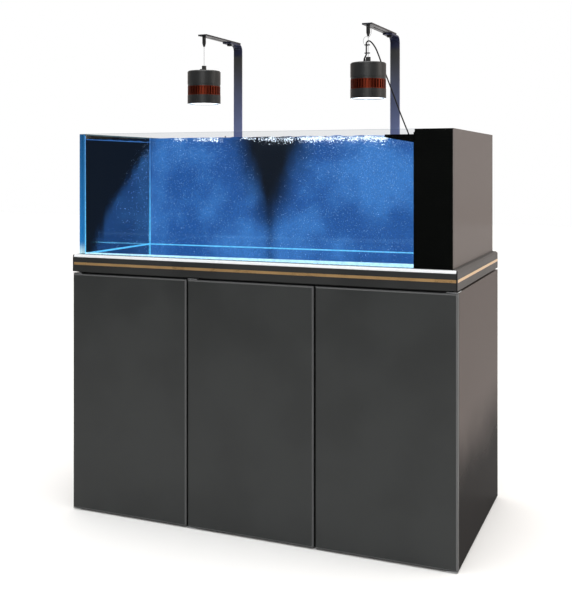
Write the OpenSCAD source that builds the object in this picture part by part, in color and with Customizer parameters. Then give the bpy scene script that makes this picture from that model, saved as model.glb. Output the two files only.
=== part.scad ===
// Rimless aquarium with a filter column on a three-door cabinet, and two hanging lamps.
// Millimetres, +Z up. The front faces -Y, and the origin is the centre of the footprint on the floor.

/* [Cabinet] */
// Overall width
body_w = 1200; // [1100:10:1300]
// Overall depth
body_d = 610; // [580:5:640]
// Height of the cabinet boards
cabinet_h = 731; // [700:1:760]
// Thickness of the cabinet boards
board_t = 18; // [16:1:20]
// Thickness of the back panel
back_t = 16; // [12:1:18]
// Thickness of a door
door_t = 18; // [17:1:20]
// Gap between two doors
door_gap = 4; // [4:0.5:6]
// Gap between a door and the boards behind it
door_back_gap = 3; // [3:0.5:5]
// Bevel round the front of a door
door_bevel = 4; // [2:0.5:5]
// Height of the foot glides
glide_h = 4; // [3:0.5:5]
// Diameter of the cable holes in the back panel
cable_hole_d = 60; // [40:1:80]

/* [Top frame] */
// Open shadow gap between the cabinet and the top frame
shadow_gap = 6; // [5:0.5:8]
// Height of the top frame
frame_h = 53; // [48:1:60]
// Width of a frame rail
rail_w = 60; // [50:1:70]
// Radius of the frame's top edge
lip_r = 8; // [5:0.5:10]
// Height of the metal inlay
inlay_h = 8; // [5:0.5:10]
// Depth of the metal inlay
inlay_t = 2; // [1:0.5:3]
// Width of the dark bead in each front corner
bead_w = 4; // [3:0.5:6]
// Thickness of the board that carries the tank
support_t = 24; // [18:1:30]
// Thickness of the foam mat
mat_t = 4; // [3:0.5:6]

/* [Tank] */
// Height of the tank
tank_h = 373; // [340:1:400]
// Thickness of the glass
glass_t = 12; // [10:1:15]
// Step from the frame's side to the tank
side_step = 13; // [11:1:16]
// Step from the frame's front to the tank
front_step = 17; // [12:1:25]
// Thickness of the film behind the back glass
film_t = 0.6; // [0.3:0.1:0.6]

/* [Filter column] */
// Width of the column
column_w = 105; // [100:1:120]
// Thickness of the outer side cladding
cladding_t = 2; // [1:0.5:3]
// Thickness of the right pane behind the cladding
side_pane_t = 10; // [8:1:12]
// Thickness of the weir panel and of the baffles
weir_t = 6; // [4:1:6]
// Number of slots in the weir
weir_slots = 22; // [10:1:30]
// Width of the comb tray that the weir carries over the water
tray_w = 80; // [60:1:90]

/* [Lamps] */
// Place of the left bracket across the tank
bracket_1_x = -320; // [-400:1:-200]
// Place of the right bracket across the tank
bracket_2_x = 262; // [252:1:272]
// Width of the bracket bar
bar_w = 32; // [28:1:34]
// Thickness of the bracket bar
bar_t = 5; // [4:0.5:5]
// Height of the top of a bracket above the rim of the tank
bracket_rise = 334; // [320:1:345]
// Turn of the arms about their lock screws
arm_yaw = 1.8; // [0:0.1:2]
// Length of an arm
arm_l = 248; // [245:1:260]
// Distance from lock screw to lamp on the left arm
reach_1 = 180; // [170:1:190]
// Distance from lock screw to lamp on the right arm
reach_2 = 207; // [205:1:209]
// Diameter of a lamp
lamp_d = 110; // [100:1:114]
// Height of a lamp's housing
lamp_h = 110; // [106:1:114]
// Number of fins round a lamp
fin_count = 36; // [24:1:48]

/* [Cord] */
// Diameter of the lamp cord
cord_d = 4.5; // [4:0.1:5]
// Diameter across the middle of the coil's turns
coil_d = 50; // [45:1:54]

/* [Hidden] */
$fn = 64;

// Half sizes and levels of the cabinet
half_w = body_w / 2;
half_d = body_d / 2;
carcass_front = -half_d + door_t + door_back_gap;
back_y = half_d - back_t;
inner_x = half_w - board_t;
base_z = glide_h + board_t;
deck_z = cabinet_h - board_t;
partition_x = body_w / 6;
glide_x = half_w - 60;
glide_y = half_d - 80;
glide_r = 20;
strip_w = 36;
strip_step = 14;
cable_hole_x = 390;
cable_hole_z = 560;

// Doors hang on pins in pivot plates of 2 mm steel
door_low = glide_h + 1;
door_high = cabinet_h - 1;
pin_r = 3;
running_gap = 0.05;
pin_l = 12;
plate_t = 2;
plate_w = 30;
plate_l = 45;
pivot_in = 7.5;
pivot_y = -half_d + 7.5;
hinge_edges = [[-half_w, 1], [-partition_x + door_gap / 2, 1], [half_w, -1]];

// Push latches under the deck, one behind the free edge of each door
latch_x = [-230, 170, 230];
latch_w = 22;
latch_l = 70;
latch_z = deck_z - latch_w / 2;
plunger_r = 5;
plunger_gap = 0.5;

// Levels of the top frame
frame_z = cabinet_h + shadow_gap;
frame_top = frame_z + frame_h;
inlay_z = frame_top - 32;
mat_margin = rail_w;

// Outside of the tank, which stands in a pocket in the frame, and the levels inside it
tank_left = -half_w + side_step;
tank_right = half_w - side_step - 1;
tank_front = -half_d + front_step;
tank_back = half_d - side_step;
tank_low = frame_top - glass_t;
tank_floor = frame_top;
pocket_gap = 0.5;
rim_z = frame_top + tank_h;
column_left = tank_right - column_w;
side_pane_x = tank_right - cladding_t - side_pane_t;
inner_front = tank_front + glass_t;
inner_back = tank_back - glass_t;
film_top = rim_z - 15;
weir_top = rim_z - 8;
weir_pitch = 8;
weir_slot_w = 3.5;
weir_slot_h = 14;
tray_top = rim_z - 14;
tray_tip_t = 8;
tray_t = 22;
tray_low = tray_top - tray_t;

// Return pump and its pipe in the back of the column
pump_y = inner_back - 55;
column_mid_x = (column_left + side_pane_x) / 2;
pipe_r = 10;
pipe_bore_r = 7.5;
pipe_bend_r = 22;
outlet_z = tray_low - pipe_r - 2;
pump_w = 64;
pump_l = 90;
pump_h = 66;
pump_neck_h = 18;

// Baffles that make three chambers in the column, and the basket in the front one
front_baffle_y = -85;
front_baffle_lift = 40;
rear_baffle_y = 130;
basket_back = front_baffle_y - 5;
basket_wall = 2;
basket_slots = 15;
basket_slot_pitch = 11;

// Brackets: a clamp on the rim, a post, a bend and a short leg that carries the arm
bend_r = 22;
leg_top = rim_z + bracket_rise;
post_back = tank_back + 6;
bend_y = post_back - bend_r;
bend_z = leg_top - bend_r;
leg_front = 205;
lock_y = 225;
clamp_drop = 48;
clamp_tongue = 16;
clamp_screw_z = rim_z - 10;
clamp_knob_r = 9;
screw_r = 2.5;
lock_head_r = 6;
lock_head_h = 2.5;
lock_knob_r = 8;
lock_knob_h = 6;
slot_w = 5.4;
slot_l = 170;
slot_from_back = 20;
end_margin = 12;
stud_r = 1.95;

// Lamps hang on a steel wire with a ball on its end
gripper_r = 6;
gripper_h = 35;
wire_r = 0.6;
wire_top = rim_z + 316;
ball_r = 2.5;
lamp_low = rim_z + 107;
lamp_top = lamp_low + lamp_h;
ball_z = lamp_top + 11;
knob_r = 7.5;
knob_h = 18;
gland_x = -12;
gland_r = 3.5;
gland_h = 8;
cup_wall = 4.8;
waist_in = 11;
fin_low = lamp_low + 29;
fin_high = fin_low + 30;

// The lead from the lamp to the upper clip, and the clips' heights
clip_z = [rim_z + 246, rim_z + 271];
clip_t = 3;
lead_x = -6;
lead_route = [
    [243.5, 18, 1388.1], [243.5, 18, 1392], [244.5, 18, 1397], [247.5, 18, 1402],
    [249.5, 18, 1407], [249.5, 18, 1415], [249.5, 18, 1425], [249.5, 18, 1437]
];

// The cord from the upper clip over the rim, down the back and along the floor to its coil
cord_route = [
    [249.5, 18, 1437.4], [249.5, 18.5, 1441], [250.5, 21, 1445], [252, 27, 1448.5],
    [254.5, 35, 1449.5], [257.5, 46, 1446.5], [261, 59, 1439], [264.5, 74, 1427],
    [268, 91, 1408], [272, 110, 1384], [277, 134, 1355], [283, 162, 1322],
    [289, 194, 1285], [295, 225, 1248], [301, 255, 1214], [305, 275, 1192],
    [308, 290, 1176], [309.5, 297, 1165], [310.5, 300, 1151], [311, 301, 1125],
    [311.5, 302, 1063], [313, 302.5, 980], [314, 303.5, 900], [315, 306, 850],
    [315, 309, 805], [315, 310, 740], [315, 310, 620], [315, 310, 500], [315, 310, 380],
    [315, 310, 260], [315, 310, 150], [315, 310, 85], [312, 310.5, 50], [304, 312, 26],
    [291, 314, 10], [275, 315, 3.5], [257, 315.5, 2.4], [243, 315.5, 2.4], [230, 315.5, 2.4]
];
cord_sides = 8;
coil_x = 230;
coil_y = 345;
coil_turns_across = 3;
coil_turns_high = 2;
plug_r = 5;

// ---------- shared shapes ----------

// A block between two opposite corners
module block(low, high) {
    translate(low) cube(high - low);
}

// A door between two X values, with bevels on its front edges and a pivot bore in each end
module door(x_low, x_high, pivot_x) {
    front = -half_d;
    back = -half_d + door_t;
    difference() {
        intersection() {
            translate([0, 0, door_low]) linear_extrude(door_high - door_low) polygon([
                [x_low, back], [x_low, front + door_bevel], [x_low + door_bevel, front],
                [x_high - door_bevel, front], [x_high, front + door_bevel], [x_high, back]
            ]);
            translate([x_low - 5, 0, 0]) rotate([90, 0, 90]) linear_extrude(x_high - x_low + 10) polygon([
                [back, door_low], [back, door_high], [front + door_bevel, door_high],
                [front, door_high - door_bevel], [front, door_low + door_bevel],
                [front + door_bevel, door_low]
            ]);
        }
        translate([pivot_x, pivot_y, door_low - 1])
            cylinder(r = pin_r + running_gap, h = pin_l + 2);
        translate([pivot_x, pivot_y, door_high - pin_l - 1])
            cylinder(r = pin_r + running_gap, h = pin_l + 2);
    }
}

// The moving pin of a push latch, with a rounded nose against the door
module plunger(x) {
    nose = carcass_front - door_back_gap + plunger_gap;
    translate([x, nose, latch_z]) rotate([-90, 0, 0]) rotate_extrude() {
        polygon([[0, 0], [plunger_r - 2, 0], [plunger_r, 2], [plunger_r, 40], [0, 40]]);
    }
}

// Plan of a mitred rail along X, with its outer face at y = 0
module rail_plan(length) {
    end_x = length / 2;
    polygon([[-end_x, 0], [end_x, 0], [end_x - rail_w, rail_w], [-end_x + rail_w, rail_w]]);
}

// The two square posts in the frame's front corners, where the dark beads stand
module bead_posts(size, low, high) {
    for (side = [-1, 1])
        translate([side * (half_w - size / 2) - size / 2, -half_d, low]) cube([size, size, high - low]);
}

// What a quarter-round edge of radius lip_r leaves out, along X at the outer top edge
module lip_waste(length) {
    difference() {
        translate([-length / 2, -1, frame_h - lip_r]) cube([length, lip_r + 1, lip_r + 1]);
        translate([-length / 2 - 1, lip_r, frame_h - lip_r]) rotate([0, 90, 0])
            cylinder(r = lip_r, h = length + 2);
    }
}

// A frame rail along X. The inlay's groove is cut in it where the inlay passes.
module rail(length, grooved, trimmed) {
    difference() {
        linear_extrude(frame_h) rail_plan(length);
        if (grooved)
            translate([-length / 2 - 1, -1, inlay_z - frame_z]) cube([length + 2, inlay_t + 1, inlay_h]);
        if (trimmed)
            translate([-length / 2 - 1, -1, frame_h - lip_r]) cube([length + 2, lip_r + 1, lip_r + 1]);
        else
            lip_waste(length + 2);
    }
}

// The flat bracket bar: clamp over the rim, post, bend and leg
module bracket(x) {
    side = x - bar_w / 2;
    difference() {
        union() {
            translate([side, post_back - bar_t, rim_z - clamp_drop])
                cube([bar_w, bar_t, bend_z - rim_z + clamp_drop]);
            translate([side, bend_y, bend_z]) rotate([90, 0, 90]) rotate_extrude(angle = 90)
                translate([bend_r - bar_t, 0]) square([bar_t, bar_w]);
            translate([side, leg_front, leg_top - bar_t]) cube([bar_w, bend_y - leg_front, bar_t]);
            translate([side, inner_back - bar_t, rim_z])
                cube([bar_w, post_back - inner_back + bar_t, bar_t]);
            translate([side, inner_back - bar_t, rim_z - clamp_tongue])
                cube([bar_w, bar_t, clamp_tongue + bar_t]);
        }
        translate([x, post_back - bar_t - 1, clamp_screw_z]) rotate([-90, 0, 0])
            cylinder(r = screw_r + running_gap, h = bar_t + 2);
        translate([x, lock_y, leg_top - bar_t - 1])
            cylinder(r = screw_r + running_gap, h = bar_t + 2);
    }
}

// A thumb screw that presses on the back glass
module clamp_screw(x) {
    translate([x, tank_back, clamp_screw_z]) rotate([-90, 0, 0]) {
        cylinder(r = screw_r, h = 8);
        translate([0, 0, 7]) cylinder(r = clamp_knob_r, h = half_d - tank_back - 7);
    }
}

// A flat arm with a long slot, in its own frame with the lock screw at the origin
module arm(x, reach) {
    back = arm_l - reach - end_margin;
    slot_back = back - slot_from_back;
    translate([x, lock_y, leg_top]) rotate([0, 0, -arm_yaw]) difference() {
        translate([-bar_w / 2, -reach - end_margin, 0]) cube([bar_w, arm_l, bar_t]);
        translate([-slot_w / 2, slot_back - slot_l + slot_w / 2, -1])
            cube([slot_w, slot_l - slot_w, bar_t + 2]);
        translate([0, slot_back - slot_w / 2, -1]) cylinder(d = slot_w, h = bar_t + 2);
        translate([0, slot_back - slot_l + slot_w / 2, -1]) cylinder(d = slot_w, h = bar_t + 2);
        translate([0, -reach, -1]) cylinder(r = stud_r + running_gap, h = bar_t + 2);
    }
}

// Puts its children on a lamp's axis, at height 0
module on_lamp_axis(x, reach) {
    translate([x, lock_y, 0]) rotate([0, 0, -arm_yaw]) translate([0, -reach, 0])
        rotate([0, 0, arm_yaw]) children();
}

// The screw that locks an arm: low head on top, shaft through both bars, round knob below
module lock_screw(x) {
    knob_z = -bar_t - lock_knob_h - 0.5;
    translate([x, lock_y, leg_top]) {
        translate([0, 0, knob_z]) cylinder(r = screw_r, h = bar_t + lock_head_h - knob_z);
        translate([0, 0, bar_t]) cylinder(r = lock_head_r, h = lock_head_h);
        translate([0, 0, knob_z]) cylinder(r = lock_knob_r, h = lock_knob_h);
    }
}

// The wire gripper under the front of an arm: a stud, a round body, a tapered tip and a bore
module gripper() {
    difference() {
        translate([0, 0, leg_top]) union() {
            cylinder(r = stud_r, h = bar_t);
            translate([0, 0, -gripper_h]) rotate_extrude()
                polygon([[0, 0], [3, 0], [gripper_r, 11], [gripper_r, gripper_h], [0, gripper_h]]);
        }
        translate([0, 0, leg_top - gripper_h - 1]) cylinder(r = wire_r + 0.1, h = 32);
    }
}

// The wire and the ball on its end
module wire() {
    translate([0, 0, ball_z]) {
        cylinder(r = wire_r, h = wire_top - ball_z);
        sphere(r = ball_r);
    }
}

// A lamp's housing: upper body, waist behind the fins, lower cup, knob with a ball socket, cord gland
module lamp_housing() {
    lamp_r = lamp_d / 2;
    waist_r = lamp_r - waist_in;
    cup_r = lamp_r - cup_wall;
    difference() {
        union() {
            rotate_extrude($fn = 96) polygon([
                [0, lamp_low + 1], [lamp_r - 1, lamp_low], [lamp_r, lamp_low + 1],
                [lamp_r, fin_low], [waist_r, fin_low], [waist_r, fin_high],
                [lamp_r - 1, fin_high], [lamp_r - 1, fin_high + 6], [lamp_r, fin_high + 7],
                [lamp_r, lamp_top - 3], [lamp_r - 3, lamp_top], [0, lamp_top]
            ]);
            translate([0, 0, lamp_top - 1]) cylinder(r = knob_r, h = knob_h + 1);
            translate([gland_x, 0, lamp_top - 1]) cylinder(r = gland_r, h = gland_h + 1);
        }
        translate([0, 0, lamp_low - 1]) cylinder(r = cup_r, h = 7, $fn = 96);
        translate([0, 0, ball_z]) sphere(r = ball_r + 0.1);
        translate([0, 0, ball_z]) cylinder(r = 1.8, h = knob_h);
    }
}

// The ring of fins in the lamp's waist
module fin_ring() {
    ring_r = lamp_d / 2 - 0.5;
    core_r = lamp_d / 2 - waist_in + 0.2;
    slot = PI * ring_r / fin_count;
    difference() {
        translate([0, 0, fin_low + 0.2]) cylinder(r = ring_r, h = fin_high - fin_low - 0.4, $fn = 96);
        translate([0, 0, fin_low]) cylinder(r = core_r, h = fin_high - fin_low, $fn = 96);
        for (i = [0 : fin_count - 1])
            rotate([0, 0, i * 360 / fin_count])
                translate([core_r + 2.5, -slot / 2, fin_low + 2]) cube([20, slot, fin_high - fin_low - 4]);
    }
}

// The lit lens in the lamp's cup
module lens() {
    translate([0, 0, lamp_low + 2.5]) cylinder(r = lamp_d / 2 - cup_wall - 0.2, h = 3, $fn = 96);
}

// ---------- the cord's tube ----------

// A point on the smooth curve through a route, at step k of n after point i
function route_point(route, i, k, n) =
    let (last = len(route) - 1,
         a = route[max(i - 1, 0)], b = route[i],
         c = route[min(i + 1, last)], d = route[min(i + 2, last)],
         t = k / n)
    b + t / 2 * ((c - a) + t * ((2 * a - 5 * b + 4 * c - d) + t * (3 * b - a - 3 * c + d)));

// The route with n points for each of its stretches
function smooth_route(route, n) = concat(
    [for (i = [0 : len(route) - 2], k = [0 : n - 1]) route_point(route, i, k, n)],
    [route[len(route) - 1]]);

function unit(v) = v / norm(v);

// Direction of the curve at point i
function heading(points, i) =
    unit(points[min(i + 1, len(points) - 1)] - points[max(i - 1, 0)]);

// The corners of the cross-section at point i
function ring_points(points, i, r) =
    let (t = heading(points, i), u = unit(cross(t, [1, 1, 0])), v = cross(t, u))
    [for (s = [0 : cord_sides - 1])
        points[i] + r * (cos(s * 360 / cord_sides) * u + sin(s * 360 / cord_sides) * v)];

// A closed tube along a route
module tube(route, r, n) {
    points = smooth_route(route, n);
    rings = len(points);
    corners = [for (i = [0 : rings - 1]) each ring_points(points, i, r)];
    walls = [for (i = [0 : rings - 2], s = [0 : cord_sides - 1])
        let (a = i * cord_sides, b = a + cord_sides, e = (s + 1) % cord_sides)
        each [[a + s, a + e, b + e], [a + s, b + e, b + s]]];
    start_cap = [[for (s = [cord_sides - 1 : -1 : 0]) s]];
    end_cap = [[for (s = [0 : cord_sides - 1]) (rings - 1) * cord_sides + s]];
    polyhedron(corners, concat(start_cap, walls, end_cap));
}

// ---------- cabinet ----------

module foot_glides() {
    color("dimgray") for (x = [-glide_x, -partition_x, partition_x, glide_x], y = [-glide_y, glide_y])
        translate([x, y, 0]) cylinder(r = glide_r, h = glide_h);
}

module base_panel() {
    color("dimgray") block([-inner_x, carcass_front, glide_h], [inner_x, back_y, base_z]);
}

module left_side_panel() {
    color("gray") block([-half_w, carcass_front, glide_h], [-inner_x, half_d, cabinet_h]);
}

module right_side_panel() {
    color("gray") block([inner_x, carcass_front, glide_h], [half_w, half_d, cabinet_h]);
}

module partition_panels() {
    color("dimgray") for (x = [-partition_x, partition_x])
        block([x - board_t / 2, carcass_front, base_z], [x + board_t / 2, back_y, deck_z]);
}

module back_panel() {
    color("dimgray") difference() {
        block([-inner_x, back_y, glide_h], [inner_x, half_d, cabinet_h]);
        for (x = [-cable_hole_x, cable_hole_x])
            translate([x, back_y - 1, cable_hole_z]) rotate([-90, 0, 0])
                cylinder(d = cable_hole_d, h = back_t + 2);
    }
}

module deck_panel() {
    color("dimgray") block([-inner_x, carcass_front, deck_z], [inner_x, back_y, cabinet_h]);
}

// Strips round the edge of the deck and over the partitions, set back so that they stay in the dark
module spacer_strips() {
    out_x = half_w - strip_step;
    out_y = half_d - strip_step;
    end_y = out_y - strip_w - 1;
    color("black") difference() {
        union() {
            for (y = [-out_y, out_y - strip_w])
                block([-out_x, y, cabinet_h], [out_x, y + strip_w, frame_z]);
            for (x = [-out_x, -partition_x - strip_w / 2, partition_x - strip_w / 2, out_x - strip_w])
                block([x, -end_y, cabinet_h], [x + strip_w, end_y, frame_z]);
        }
        for (hinge = hinge_edges)
            translate([min(hinge[0], hinge[0] + hinge[1] * plate_w) - 1, -half_d + 2, cabinet_h - 1])
                cube([plate_w + 2, plate_l + 2, plate_t + 1]);
    }
}

module pivot_plates() {
    color("silver") for (hinge = hinge_edges) {
        pin_x = hinge[0] + hinge[1] * pivot_in;
        plate_low_x = min(hinge[0], hinge[0] + hinge[1] * plate_w);
        translate([plate_low_x, -half_d + 3, cabinet_h]) cube([plate_w, plate_l, plate_t]);
        translate([pin_x, pivot_y, cabinet_h - pin_l]) cylinder(r = pin_r, h = pin_l);
        translate([plate_low_x, -half_d + 3, glide_h - plate_t]) cube([plate_w, plate_l, plate_t]);
        translate([pin_x, pivot_y, glide_h]) cylinder(r = pin_r, h = pin_l);
    }
}

module latch_housings() {
    color("black") for (x = latch_x) difference() {
        translate([x - latch_w / 2, carcass_front + 4, deck_z - latch_w])
            cube([latch_w, latch_l, latch_w]);
        translate([x, carcass_front, latch_z]) rotate([-90, 0, 0])
            cylinder(r = plunger_r + running_gap, h = 45);
    }
}

module left_door() {
    color("#3c3e3e") door(-half_w, -partition_x - door_gap / 2, -half_w + pivot_in);
}

module middle_door() {
    edge = partition_x - door_gap / 2;
    color("#3c3e3e") door(-edge, edge, -edge + pivot_in);
}

module right_door() {
    color("#3c3e3e") door(partition_x + door_gap / 2, half_w, half_w - pivot_in);
}

module left_plunger() {
    color("white") plunger(latch_x[0]);
}

module middle_plunger() {
    color("white") plunger(latch_x[1]);
}

module right_plunger() {
    color("white") plunger(latch_x[2]);
}

// ---------- top frame ----------

// The pocket in the frame that takes the bottom glass
module tank_pocket() {
    block([tank_left - pocket_gap, tank_front - pocket_gap, tank_low],
          [tank_right - cladding_t + pocket_gap, tank_back + pocket_gap, frame_top + 1]);
}

module front_rail() {
    color("#343636") difference() {
        translate([0, -half_d, frame_z]) rail(body_w, true, true);
        bead_posts(bead_w, frame_z - 1, frame_top + 1);
        tank_pocket();
    }
}

module side_and_back_rails() {
    color("#5a5856") difference() {
        union() {
            for (turn = [90, -90])
                rotate([0, 0, turn]) translate([0, -half_w, frame_z]) rail(body_d, true, false);
            rotate([0, 0, 180]) translate([0, -half_d, frame_z]) rail(body_w, false, false);
        }
        bead_posts(bead_w, frame_z - 1, frame_top + 1);
        tank_pocket();
    }
}

// The dark bead in each front corner of the frame, rounded over at its top like the rails
module corner_beads() {
    color("black") intersection() {
        bead_posts(bead_w, frame_z, frame_top);
        translate([0, -half_d, frame_z]) difference() {
            translate([-half_w, 0, 0]) cube([body_w, rail_w, frame_h]);
            lip_waste(body_w + 2);
        }
    }
}

module gold_trim() {
    in_x = half_w - inlay_t;
    end_y = half_d - inlay_t;
    color("#c8965a") difference() {
        translate([0, 0, inlay_z]) linear_extrude(inlay_h) polygon([
            [-half_w, -half_d], [half_w, -half_d], [half_w, end_y], [in_x, end_y],
            [in_x, -half_d + inlay_t], [-in_x, -half_d + inlay_t], [-in_x, end_y], [-half_w, end_y]
        ]);
        bead_posts(bead_w, frame_z, frame_top);
    }
}

module front_edge_trim() {
    color("white") difference() {
        intersection() {
            translate([0, -half_d, frame_z]) linear_extrude(frame_h) rail_plan(body_w);
            translate([-half_w - 1, -half_d, frame_top - lip_r]) cube([body_w + 2, lip_r, lip_r]);
            translate([-half_w - 1, -half_d + lip_r, frame_top - lip_r]) rotate([0, 90, 0])
                cylinder(r = lip_r, h = body_w + 2);
        }
        bead_posts(bead_w, frame_z, frame_top + 1);
    }
}

module support_board() {
    x = half_w - mat_margin;
    y = half_d - mat_margin;
    color("dimgray") block([-x, -y, tank_low - mat_t - support_t], [x, y, tank_low - mat_t]);
}

module foam_mat() {
    x = half_w - mat_margin;
    y = half_d - mat_margin;
    color("black") block([-x, -y, tank_low - mat_t], [x, y, tank_low]);
}

// ---------- tank ----------

module bottom_glass() {
    color("deepskyblue", 0.5)
        block([tank_left, tank_front, tank_low], [tank_right - cladding_t, tank_back, tank_floor]);
}

module front_glass() {
    color("deepskyblue", 0.3)
        block([tank_left, tank_front, tank_floor], [column_left, inner_front, rim_z]);
}

module left_glass() {
    color("deepskyblue", 0.3)
        block([tank_left, inner_front, tank_floor], [tank_left + glass_t, inner_back, rim_z]);
}

module back_glass() {
    color("deepskyblue", 0.3)
        block([tank_left, inner_back, tank_floor], [tank_right - cladding_t, tank_back, rim_z]);
}

module right_glass() {
    color("deepskyblue", 0.3)
        block([side_pane_x, inner_front, tank_floor], [tank_right - cladding_t, inner_back, rim_z]);
}

module back_film() {
    color("#1f5fa8")
        block([tank_left, tank_back, tank_floor], [column_left, tank_back + film_t, film_top]);
}

// ---------- filter column ----------

module column_front_panel() {
    color("#101010")
        block([column_left, tank_front, tank_floor], [tank_right - cladding_t, inner_front, rim_z]);
}

module column_side_panel() {
    color("#847e7a")
        block([tank_right - cladding_t, tank_front, frame_top], [tank_right, tank_back, rim_z]);
}

// The weir, with slots in it and a comb tray over them that grows thicker towards the weir
module weir_panel() {
    first_y = -weir_pitch * (weir_slots - 1) / 2;
    tray_x = column_left - weir_t - tray_w;
    color("#181818") difference() {
        union() {
            block([column_left - weir_t, inner_front, tank_floor], [column_left, inner_back, weir_top]);
            translate([0, inner_back, 0]) rotate([90, 0, 0]) linear_extrude(inner_back - inner_front)
                polygon([[tray_x, tray_top], [tray_x, tray_top - tray_tip_t],
                         [column_left - weir_t, tray_low], [column_left, tray_low], [column_left, tray_top]]);
        }
        for (i = [0 : weir_slots - 1])
            translate([column_left - weir_t - 1, first_y + i * weir_pitch, tray_low - weir_slot_h])
                cube([weir_t + 2, weir_slot_w, weir_slot_h]);
        for (y = [inner_front + 20 : 2 * weir_pitch : inner_back - 40])
            translate([tray_x - 1, y, tray_low - 1]) cube([25, weir_pitch, tray_t + 2]);
        translate([column_left - weir_t - 1, pump_y, outlet_z]) rotate([0, 90, 0])
            cylinder(r = pipe_r + 0.3, h = weir_t + 2);
    }
}

module filter_baffles() {
    color("#181818") {
        block([column_left, front_baffle_y, tank_floor + front_baffle_lift],
              [side_pane_x, front_baffle_y + weir_t, weir_top - 10]);
        block([column_left, rear_baffle_y, tank_floor], [side_pane_x, rear_baffle_y + weir_t, rim_z - 120]);
    }
}

// An open-topped basket with slots in its floor and a bar to lift it by
module filter_basket() {
    low = [column_left + 3, inner_front + 4, tank_floor + 0.3];
    high = [side_pane_x - 3, basket_back, rim_z - 46];
    wall = basket_wall;
    handle_y = (low.y + high.y) / 2 - 8;
    color("#202020") {
        difference() {
            block(low, high);
            block([low.x + wall, low.y + wall, low.z + wall], [high.x - wall, high.y - wall, high.z + 1]);
            for (i = [0 : basket_slots - 1])
                translate([low.x + 10, low.y + 12 + i * basket_slot_pitch, low.z - 1])
                    cube([high.x - low.x - 20, 4, wall + 2]);
        }
        for (x = [low.x, high.x - wall])
            translate([x, handle_y, high.z]) cube([wall, 16, 22]);
        translate([low.x, handle_y, high.z + 22]) cube([high.x - low.x, 16, 4]);
    }
}

module filter_foam() {
    low = [column_left + 5.5, inner_front + 6.5, tank_floor + 2.8];
    high = [side_pane_x - 5.5, basket_back - 2.5, rim_z - 90];
    color("#7d93a0") block(low, high);
}

module return_pump() {
    color("#1c1c1c") {
        translate([column_mid_x - pump_w / 2, pump_y - pump_l / 2, tank_floor])
            cube([pump_w, pump_l, pump_h]);
        translate([column_mid_x, pump_y, tank_floor + pump_h]) cylinder(r = pipe_r + 3, h = pump_neck_h);
    }
}

// A hollow pipe: up from the pump, round a bend and through the weir into the tank
module return_pipe() {
    low = tank_floor + pump_h + pump_neck_h;
    straight = outlet_z - pipe_bend_r - low;
    color("#303030") translate([column_mid_x, pump_y, 0]) {
        translate([0, 0, low]) difference() {
            cylinder(r = pipe_r, h = straight);
            translate([0, 0, -1]) cylinder(r = pipe_bore_r, h = straight + 2);
        }
        translate([-pipe_bend_r, 0, outlet_z - pipe_bend_r]) rotate([90, 0, 0])
            rotate_extrude(angle = 90) translate([pipe_bend_r, 0]) difference() {
                circle(r = pipe_r);
                circle(r = pipe_bore_r);
            }
        translate([column_left - 18 - column_mid_x, 0, outlet_z]) rotate([0, 90, 0]) difference() {
            cylinder(r = pipe_r, h = column_mid_x - pipe_bend_r - column_left + 18);
            translate([0, 0, -1]) cylinder(r = pipe_bore_r, h = column_mid_x);
        }
    }
}

// ---------- lamps ----------

module bracket_1() {
    color("#3c415a") bracket(bracket_1_x);
}

module clamp_screw_1() {
    color("black") clamp_screw(bracket_1_x);
}

module arm_1() {
    color("#35363a") arm(bracket_1_x, reach_1);
}

module lock_screw_1() {
    color("black") lock_screw(bracket_1_x);
}

module gripper_1() {
    color("#2a2a2a") on_lamp_axis(bracket_1_x, reach_1) gripper();
}

module wire_1() {
    color("silver") on_lamp_axis(bracket_1_x, reach_1) wire();
}

module lamp_housing_1() {
    color("#3a3a3a") on_lamp_axis(bracket_1_x, reach_1) lamp_housing();
}

module fin_ring_1() {
    color("#8a3018") on_lamp_axis(bracket_1_x, reach_1) fin_ring();
}

module lens_1() {
    color("white") on_lamp_axis(bracket_1_x, reach_1) lens();
}

module bracket_2() {
    color("#3c415a") bracket(bracket_2_x);
}

module clamp_screw_2() {
    color("black") clamp_screw(bracket_2_x);
}

module arm_2() {
    color("#35363a") arm(bracket_2_x, reach_2);
}

module lock_screw_2() {
    color("black") lock_screw(bracket_2_x);
}

module gripper_2() {
    color("#2a2a2a") on_lamp_axis(bracket_2_x, reach_2) gripper();
}

module wire_2() {
    color("silver") on_lamp_axis(bracket_2_x, reach_2) wire();
}

module lamp_housing_2() {
    color("#3a3a3a") on_lamp_axis(bracket_2_x, reach_2) lamp_housing();
}

module fin_ring_2() {
    color("#8a3018") on_lamp_axis(bracket_2_x, reach_2) fin_ring();
}

module lens_2() {
    color("white") on_lamp_axis(bracket_2_x, reach_2) lens();
}

// Two small plates that tie the lead to the wire
module cord_clips() {
    color("black") on_lamp_axis(bracket_2_x, reach_2) for (z = clip_z) difference() {
        translate([-11, -3.5, z]) cube([16, 7, clip_t]);
        translate([0, 0, z - 1]) cylinder(r = wire_r + 0.05, h = clip_t + 2);
        translate([lead_x, 0, z - 1]) cylinder(d = cord_d + 0.2, h = clip_t + 2);
    }
}

module lamp_lead() {
    color("black") tube(lead_route, cord_d / 2, 1);
}

// ---------- cord ----------

module lamp_cord() {
    color("black") tube(cord_route, cord_d / 2, 2);
}

module cord_coil() {
    wide = coil_turns_across * cord_d;
    tall = coil_turns_high * cord_d;
    color("black") translate([coil_x, coil_y, 0]) rotate_extrude()
        translate([coil_d / 2 - wide / 2, 0]) square([wide, tall]);
}

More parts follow.
